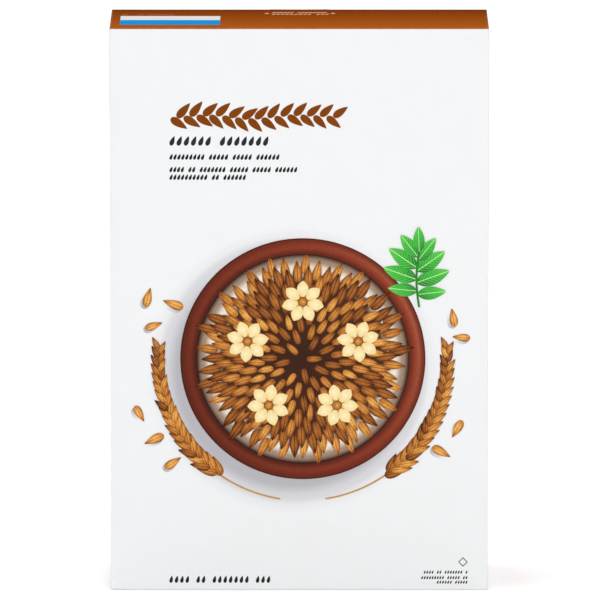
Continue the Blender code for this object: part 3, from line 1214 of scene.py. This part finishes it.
field_brown = printed(
    "field_brown", (0.202, 0.044, 0.0032, 1), (0.228, 0.053, 0.0042, 1), gloss=0.06, wear=0.1
)
cream_ink = printed("cream_ink", (0.80, 0.66, 0.44, 1), (0.84, 0.71, 0.50, 1))

joined("left_band", [
    bar(field_brown, seam_fold, HEADER_LOW, DEPTH - FOLD_RADIUS, SLEEVE_HIGH),
], on_left, bend=True)
band_line = [(0.0110, 0.2735), (0.0350, 0.2755), (0.0580, 0.2740)]
joined("left_ear", [
    grains_along(band_line, garland_grain, cream_ink, 18, GARLAND_SPREAD, 0.0082, 0.85, seed=41),
    words(cream_ink, (0.0130, 0.2615), 0.0460, 0.0024, 0.0021, seed=20),
], on_left, layer=2)

inside_left, inside_right = TABLE_LEFT + TABLE_MARGIN, TABLE_RIGHT - TABLE_MARGIN
first_row = TABLE_HIGH - TABLE_TITLE
row_pitch = (first_row - TABLE_LOW - 0.0015) / TABLE_ROWS
table = [
    bar(charcoal_ink, left, TABLE_LOW + TABLE_LINE, left + TABLE_LINE, TABLE_HIGH - TABLE_LINE)
    for left in (TABLE_LEFT, TABLE_RIGHT - TABLE_LINE)
]
table += bars(charcoal_ink, TABLE_LEFT, TABLE_RIGHT, [
    (TABLE_LOW, TABLE_LINE), (TABLE_HIGH - TABLE_LINE, TABLE_LINE),
])
table += [
    words(charcoal_ink, (inside_left, TABLE_HIGH - 0.0025), 0.0480, 0.0056, 0.0046, seed=19),
    words(charcoal_ink, (inside_left, TABLE_HIGH - 0.0108), 0.0440, 0.0021, 0.0016, seed=44,
          rows_down=2, pitch=0.0036, ragged=0.2),
    *bars(charcoal_ink, inside_left, inside_right, [(first_row, 0.0024)]),
]
for i in range(TABLE_ROWS):
    row_high = first_row - i * row_pitch
    name_length = NAME_SHARES[i % len(NAME_SHARES)] * NAME_SPACE
    name_left = inside_left + (0.0 if i % 3 == 0 else NAME_INDENT)
    table += [
        words(charcoal_ink, (name_left, row_high - NAME_DROP), name_length, 0.0024, 0.0018, seed=50 + i),
        words(charcoal_ink, (inside_right, row_high - NAME_DROP), 0.0062, 0.0024, 0.0018, seed=80 + i,
              to_right=True),
    ]
    line = TABLE_HEAVY if i in HEAVY_ROWS else TABLE_RULE
    table += bars(charcoal_ink, inside_left, inside_right, [(row_high - row_pitch, line)])
joined("left_table", table, on_left, bend=True)

joined("left_text", [
    words(charcoal_ink, (TABLE_LEFT, 0.1040), 0.0300, 0.0034, 0.0027, seed=6),
    words(charcoal_ink, (TABLE_LEFT, 0.0965), 0.0540, 0.0022, 0.0017, seed=102, rows_down=8,
          pitch=0.0040, ragged=0.14),
    words(charcoal_ink, (TABLE_LEFT, 0.0570), 0.0540, 0.0022, 0.0017, seed=103, rows_down=4,
          pitch=0.0040, ragged=0.3),
], on_left)

for i, ink in enumerate((charcoal_ink, blue_ink, field_brown)):
    dot_place = (TABLE_RIGHT - DOT_RADIUS - DOT_PITCH * i, DOT_LEVEL)
    joined(f"left_dot_{i}", [slab(round_outline(DOT_RADIUS, 20), ink, at=dot_place)], on_left)


# The right side's print
# The other narrow side is a brown field with round corners. A tall ear of pale grain stands in it under
# a rosette, over the cover's two stripes and some rows of small grains.
FIELD_LEFT, FIELD_LOW, FIELD_RIGHT, FIELD_HIGH = 0.0045, 0.0120, 0.0655, 0.2850
FIELD_CORNER = 0.0060
SIDE_MIDDLE = 0.0350
SIDE_STALK_FOOT, SIDE_STALK_STEP = 0.0660, 0.0100
SIDE_ROSETTE = (SIDE_MIDDLE, 0.2540)
SIDE_LEFT, SIDE_RIGHT = 0.0110, 0.0590
SIDE_STRIPES = (0.0440, 0.0520, 0.0585)


def soft_outline(left, low, right, high, radius, steps=6):
    """A rectangle with round corners, anticlockwise from its lower right."""
    found = []
    corners = ((right - radius, low + radius, -90), (right - radius, high - radius, 0),
               (left + radius, high - radius, 90), (left + radius, low + radius, 180))
    for u, v, start in corners:
        for step in range(steps + 1):
            turn = math.radians(start + 90 * step / steps)
            found.append((u + radius * math.cos(turn), v + radius * math.sin(turn)))
    return found


joined("right_field", [
    slab(soft_outline(FIELD_LEFT, FIELD_LOW, FIELD_RIGHT, FIELD_HIGH, FIELD_CORNER), field_brown),
], on_right, bend=True)
tall_line = [(SIDE_MIDDLE, 0.1120), (0.0346, 0.1500), (0.0354, 0.1900), (SIDE_MIDDLE, 0.2240)]
joined("right_ear", [
    grains_along(tall_line, grain, grain_ink, 44, 0.55, 0.0150, 0.60, seed=111),
], on_right, layer=6)
side_stalk = [(SIDE_MIDDLE, SIDE_STALK_FOOT + SIDE_STALK_STEP * i) for i in range(16)]
joined("right_cream", [
    ribbon(side_stalk, 0.0011, cream_ink),
    *[slab(kernel_outline(0.20, points=12, blunt=0.8), cream_ink, (SIDE_MIDDLE, level),
           math.radians(lean), size)
      for level, lean, size in ((0.0800, 118, 0.0400), (0.0860, 64, 0.0360))],
    *[band(SIDE_ROSETTE, [(inner, 0.0), (outer, 1.0)], cream_ink, segments=72)
      for inner, outer in ((0.0178, 0.0186), (0.0162, 0.0165))],
    words(cream_ink, (SIDE_LEFT, 0.0330), 0.0480, 0.0024, 0.0019, seed=112, rows_down=4,
          pitch=0.0042, ragged=0.2),
], on_right, layer=2, bend=True)
joined("right_rosette", [
    moved(flower(12, 0.0030, 0.0125, seed=113), SIDE_ROSETTE),
], on_right, layer=4)
joined("right_eye", [
    band(SIDE_ROSETTE, even_rims(0.0, 0.0042, 3), eye_ink, segments=24),
], on_right, layer=9)
joined("right_blue_stripe", [
    bar(blue_ink, SIDE_LEFT, SIDE_STRIPES[0], SIDE_RIGHT, SIDE_STRIPES[1]),
], on_right, layer=2, bend=True)
joined("right_white_stripe", [
    bar(stripe_white, SIDE_LEFT, SIDE_STRIPES[1], SIDE_RIGHT, SIDE_STRIPES[2]),
], on_right, layer=2, bend=True)


# The back's print
# The back has a brown header with a waved edge, a sheaf in a terracotta ring, four stages of the plant's
# growth in small rings, and columns of small grains over the blue stripe.
HEADER_HIGH = HEIGHT - BOARD - LAYER_GAP - FOLD_RADIUS
WAVE, WAVE_LENGTH, WAVE_CELL = 0.0035, 0.065, 0.003
BACK_LEFT, BACK_RIGHT, SECOND_COLUMN = 0.0140, 0.1810, 0.1010
SHEAF = (0.0975, 0.1880)
SHEAF_RING_INNER, SHEAF_RING_OUTER = 0.0455, 0.0510
SHEAF_EARS = 7
SHEAF_REACH, SHEAF_FOOT = 0.0600, 0.0190
TIE_LEVEL = SHEAF[1] - 0.0230
STAGE_LEVEL, STAGE_RADIUS, STAGE_RIM = 0.1120, 0.0135, 0.0009
STAGE_PLACES = (0.0285, 0.0745, 0.1205, 0.1665)
STAGE_DOTS = 5
# Where each stage's stalk starts from the level of the rings, how high it is, and its pairs of leaves
PLANTS = ((-0.0055, 0.0090, 1), (-0.0090, 0.0150, 2), (-0.0090, 0.0115, 1))

joined("back_header", [
    strip([
        ((across, HEADER_LOW + WAVE * math.sin(2 * math.pi * across / WAVE_LENGTH)), (across, HEADER_HIGH))
        for across in steps_between(FOLD_RADIUS, WIDTH - SEAM_STEP, WAVE_CELL)
    ], field_brown),
], on_back, bend=True)
header_line = [(0.0420, 0.2775), (0.0700, 0.2795), (0.0975, 0.2770), (0.1250, 0.2795), (0.1530, 0.2780)]
joined("back_cream", [
    grains_along(header_line, garland_grain, cream_ink, 35, GARLAND_SPREAD, 0.0098, 0.9, seed=121),
    words(cream_ink, (0.0520, 0.2665), 0.0910, 0.0034, 0.0028, seed=8),
], on_back, layer=2)

sheaf_ground_ink = painted("sheaf_ground_ink", (
    (0.0, (0.84, 0.78, 0.64, 1)), (1.0, (0.085, 0.035, 0.018, 1)), (0.80, (0.76, 0.66, 0.48, 1)),
    (0.94, (0.42, 0.29, 0.17, 1)),
), grain=0.03)
joined("back_ground", [
    band(SHEAF, even_rims(0.0, SHEAF_RING_INNER + RING_LAP, 14), sheaf_ground_ink),
], on_back, layer=2)
joined("back_ring", [
    band(SHEAF, even_rims(SHEAF_RING_INNER, SHEAF_RING_OUTER, 8), ring_ink),
], on_back, layer=4)

# The sheaf: ears fan out above the tie, and their stalks below it
sheaf_ears, sheaf_stalks = [], []
for i in range(SHEAF_EARS):
    from_middle = i - SHEAF_EARS // 2
    lean = math.radians(15.5 * from_middle)
    length = SHEAF_REACH - 0.0016 * abs(from_middle) ** 1.5
    line = []
    for s in (0.0, 0.2, 0.4, 0.6, 0.8, 1.0):
        across = SHEAF[0] + length * s * math.sin(lean * (0.35 + 0.65 * s))
        line.append((across, TIE_LEVEL + length * s * math.cos(lean * s)))
    foot = (
        SHEAF[0] - SHEAF_FOOT * math.sin(lean * 0.8),
        TIE_LEVEL - SHEAF_FOOT + 0.0012 * abs(from_middle),
    )
    sheaf_stalks.append(ribbon([foot, (SHEAF[0], TIE_LEVEL), *line[1:4]], STALK_WIDTH, stalk_ink))
    sheaf_ears.append(grains_along(line[2:], grain, grain_ink, 19, 0.5, 0.0094, 0.65, seed=130 + i))
joined("back_stalks", sheaf_stalks, on_back, layer=5)

# The growing plant: a seed, then longer stalks with more leaves, and an ear at last
stage_seeds = [
    slab(kernel_outline(GRAIN_WIDTH), grain_ink, (across - 0.0055, STAGE_LEVEL - 0.0055), 0.25, 0.0115)
    for across in STAGE_PLACES[:2]
]
stage_ear_line = [
    (STAGE_PLACES[3] + across, STAGE_LEVEL + rise)
    for across, rise in ((0.0, -0.0015), (0.0005, 0.0035), (0.0022, 0.0080))
]
stage_ear = grains_along(stage_ear_line, grain, grain_ink, 13, 0.5, 0.0052, 0.7, seed=141)
joined("back_ears", [*sheaf_ears, *stage_seeds, stage_ear], on_back, layer=7)
tie_ink = printed("tie_ink", (0.235, 0.041, 0.018, 1), (0.270, 0.052, 0.024, 1), gloss=0.1)
joined("back_tie", [
    slab(soft_outline(-0.0042, -0.0016, 0.0042, 0.0016, 0.0008), tie_ink, at=(SHEAF[0], TIE_LEVEL)),
], on_back, layer=11)

stage_green = []
for across, (foot_drop, height, leaf_pairs) in zip(STAGE_PLACES[1:], PLANTS):
    foot = STAGE_LEVEL + foot_drop
    stage_green.append(ribbon([(across, foot + height * i / 5) for i in range(6)], STALK_WIDTH, leaf_ink))
    for pair in range(leaf_pairs):
        for side in (-1, 1):
            turn = math.pi / 2 - side * 0.85
            at = (across, foot + height * (0.45 + 0.5 * pair))
            leaf = kernel_outline(0.36, points=12, blunt=0.8)
            stage_green.append(slab(leaf, leaf_ink, at, turn, 0.0078))
joined("back_green", stage_green, on_back, layer=6)

stage_marks = []
for across in STAGE_PLACES:
    rims = [(STAGE_RADIUS - STAGE_RIM, 0.0), (STAGE_RADIUS, 1.0)]
    stage_marks += [
        band((across, STAGE_LEVEL), rims, garland_ink, segments=60),
        words(garland_ink, (across - 0.0130, STAGE_LEVEL - 0.0165), 0.0260, 0.0022, 0.0018,
              seed=int(across * 1e4)),
    ]
for start, end in zip(STAGE_PLACES, STAGE_PLACES[1:]):
    for i in range(STAGE_DOTS):
        across = start + STAGE_RADIUS + (end - start - 2 * STAGE_RADIUS) * (i + 0.5) / STAGE_DOTS
        stage_marks.append(slab(round_outline(0.0007, 10), garland_ink, at=(across, STAGE_LEVEL)))
stage_marks += bars(garland_ink, BACK_LEFT, BACK_RIGHT, [(0.0850, 0.0005)])
joined("back_brown", stage_marks, on_back, bend=True)

column_words = []
for i, left in enumerate((BACK_LEFT, SECOND_COLUMN)):
    column_words += [
        words(charcoal_ink, (left, 0.0800), 0.0420, 0.0034, 0.0028, seed=12 + 8 * i),
        words(charcoal_ink, (left, 0.0735), 0.0790, 0.0022, 0.0017, seed=153 + i, rows_down=7,
              pitch=0.0041, ragged=0.16),
    ]
column_words.append(words(
    charcoal_ink, (BACK_LEFT, 0.0170), 0.0900, 0.0020, 0.0016, seed=157,
    rows_down=2, pitch=0.0036, ragged=0.25,
))
joined("back_words", column_words, on_back)
joined("back_blue_stripe", [
    bar(blue_ink, BACK_LEFT, 0.0270, BACK_RIGHT, 0.0360),
], on_back, bend=True)


# The bottom's print
# The outer bottom flap is white. It has a group of upright bars, as scanners read, and rows of small
# grains, in the same charcoal ink.
CODE_LEFT, CODE_LOW, CODE_HIGH = 0.0240, 0.0180, 0.0400
CODE_BARS = 26
CODE_THICKNESSES = (0.0005, 0.0005, 0.0010, 0.0015)
CODE_GAPS = (0.0005, 0.0010, 0.0010)

code = random.Random(9)
code_bars = []
across = CODE_LEFT
for _ in range(CODE_BARS):
    thick = code.choice(CODE_THICKNESSES)
    code_bars.append(bar(charcoal_ink, across, CODE_LOW, across + thick, CODE_HIGH))
    across += thick + code.choice(CODE_GAPS)
joined("bottom_marks", [
    *code_bars,
    words(charcoal_ink, (0.0950, CODE_HIGH), 0.0700, 0.0024, 0.0019, seed=161, rows_down=4,
          pitch=0.0046, ragged=0.2),
], on_bottom)


# The shapes that print was grown from have done their work
for helper in pattern_shapes:
    bpy.data.objects.remove(helper, do_unlink=True)
